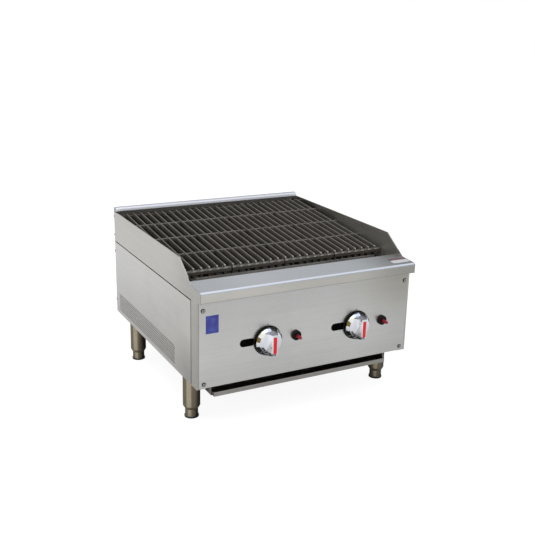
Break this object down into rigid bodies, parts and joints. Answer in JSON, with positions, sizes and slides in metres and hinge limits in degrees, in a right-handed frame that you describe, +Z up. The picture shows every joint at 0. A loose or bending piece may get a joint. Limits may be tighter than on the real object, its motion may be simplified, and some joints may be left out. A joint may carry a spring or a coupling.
{
  "type": "charbroiler grill",
  "caption": "Countertop gas charbroiler: stainless casing with splash guards, sloped cast iron grates, front ledge, knobs, igniters, drip tray and levelling legs.",
  "frame": {"origin": "on the worktop, under the middle of the overall box", "axes": "+Z up, front faces -Y, +X to the right seen from the front"},
  "size_m": [0.6122, 0.674, 0.433],
  "materials": {
    "brushed_stainless": "satin, brushed",
    "side_stainless": "satin, brushed",
    "guard_stainless": "satin, brushed",
    "panel_stainless": "satin, brushed",
    "ledge_stainless": "satin, brushed along the ledge",
    "frame_steel": "mill finish, dull",
    "firebox_steel": "heat-darkened",
    "support_steel": "heat-darkened",
    "cast_iron": "seasoned, as cast",
    "radiant_steel": "heat-tinted",
    "burner_steel": "aluminised, dull",
    "black_pipe": "black iron pipe",
    "brass": "turned",
    "aluminium_tube": "drawn",
    "ceramic": "glazed",
    "lead_jacket": "silicone",
    "black_plastic": "moulded",
    "red_button": "moulded",
    "red_pointer": "filled",
    "knob_chrome": "bright plated",
    "screw_steel": "zinc plated",
    "tray_steel": "satin",
    "leg_nickel": "satin nickel, warm"
  },
  "bodies": {
    "casing": {"left_side_guard": "guard_stainless", "right_side_guard": "guard_stainless", "left_side_panel": "side_stainless", "right_side_panel": "side_stainless", "back_panel": "brushed_stainless", "control_panel": "panel_stainless", "front_ledge": "ledge_stainless", "casing_screws": "screw_steel", "front_base_rail": "frame_steel", "rear_base_rail": "frame_steel", "left_base_rail": "frame_steel", "right_base_rail": "frame_steel", "firebox_front_wall": "firebox_steel", "firebox_rear_wall": "firebox_steel", "firebox_left_wall": "firebox_steel", "firebox_right_wall": "firebox_steel", "front_grate_support": "support_steel", "rear_grate_support": "support_steel", "left_burner": "burner_steel", "right_burner": "burner_steel", "manifold_pipe": "black_pipe", "gas_supply_pipe": "black_pipe", "left_gas_valve": "brass", "right_gas_valve": "brass", "main_orifices": "brass", "left_pilot_burner": "burner_steel", "right_pilot_burner": "burner_steel", "pilot_gas_tubes": "aluminium_tube", "spark_electrodes": "ceramic", "ignition_leads": "lead_jacket", "left_igniter_body": "black_plastic", "right_igniter_body": "black_plastic", "knob_bezels": "black_plastic", "left_tray_rail": "frame_steel", "right_tray_rail": "frame_steel", "radiant_1": "radiant_steel", "radiant_2": "radiant_steel", "radiant_3": "radiant_steel", "radiant_4": "radiant_steel", "front_left_leg": "leg_nickel", "front_right_leg": "leg_nickel", "rear_left_leg": "leg_nickel", "rear_right_leg": "leg_nickel"},
    "left_knob": {"left_knob": "knob_chrome", "left_knob_pointer": "red_pointer", "left_valve_stem": "screw_steel"},
    "right_knob": {"right_knob": "knob_chrome", "right_knob_pointer": "red_pointer", "right_valve_stem": "screw_steel"},
    "left_igniter_button": {"left_igniter_button": "red_button"},
    "right_igniter_button": {"right_igniter_button": "red_button"},
    "drip_tray": {"drip_tray": "tray_steel"},
    "grate_1": {"grate_1": "cast_iron"},
    "grate_2": {"grate_2": "cast_iron"},
    "grate_3": {"grate_3": "cast_iron"},
    "grate_4": {"grate_4": "cast_iron"},
    "front_left_foot": {"front_left_foot": "leg_nickel"},
    "front_right_foot": {"front_right_foot": "leg_nickel"},
    "rear_left_foot": {"rear_left_foot": "leg_nickel"},
    "rear_right_foot": {"rear_right_foot": "leg_nickel"}
  },
  "joints": [
    {"name": "left_knob_turn", "type": "hinge", "parent": "casing", "child": "left_knob", "pos_m": [-0.1172, -0.3, 0.2105], "axis": [0, -1, 0], "range_deg": [0, 90]},
    {"name": "right_knob_turn", "type": "hinge", "parent": "casing", "child": "right_knob", "pos_m": [0.141, -0.3, 0.2105], "axis": [0, -1, 0], "range_deg": [0, 90]},
    {"name": "left_igniter_press", "type": "slide", "parent": "casing", "child": "left_igniter_button", "axis": [0, 1, 0], "range_m": [0, 0.006], "stiffness_N_per_m": 500, "springref_m": -0.002},
    {"name": "right_igniter_press", "type": "slide", "parent": "casing", "child": "right_igniter_button", "axis": [0, 1, 0], "range_m": [0, 0.006], "stiffness_N_per_m": 500, "springref_m": -0.002},
    {"name": "tray_slide", "type": "slide", "parent": "casing", "child": "drip_tray", "axis": [0, -1, 0], "range_m": [0, 0.45]},
    {"name": "grate_1_lift", "type": "slide", "parent": "casing", "child": "grate_1", "axis": [0, 0, 1], "range_m": [0, 0.12]},
    {"name": "grate_2_lift", "type": "slide", "parent": "casing", "child": "grate_2", "axis": [0, 0, 1], "range_m": [0, 0.12]},
    {"name": "grate_3_lift", "type": "slide", "parent": "casing", "child": "grate_3", "axis": [0, 0, 1], "range_m": [0, 0.12]},
    {"name": "grate_4_lift", "type": "slide", "parent": "casing", "child": "grate_4", "axis": [0, 0, 1], "range_m": [0, 0.12]},
    {"name": "front_left_foot_level", "type": "slide", "parent": "casing", "child": "front_left_foot", "axis": [0, 0, -1], "range_m": [0, 0.02]},
    {"name": "front_right_foot_level", "type": "slide", "parent": "casing", "child": "front_right_foot", "axis": [0, 0, -1], "range_m": [0, 0.02]},
    {"name": "rear_left_foot_level", "type": "slide", "parent": "casing", "child": "rear_left_foot", "axis": [0, 0, -1], "range_m": [0, 0.02]},
    {"name": "rear_right_foot_level", "type": "slide", "parent": "casing", "child": "rear_right_foot", "axis": [0, 0, -1], "range_m": [0, 0.02]}
  ]
}
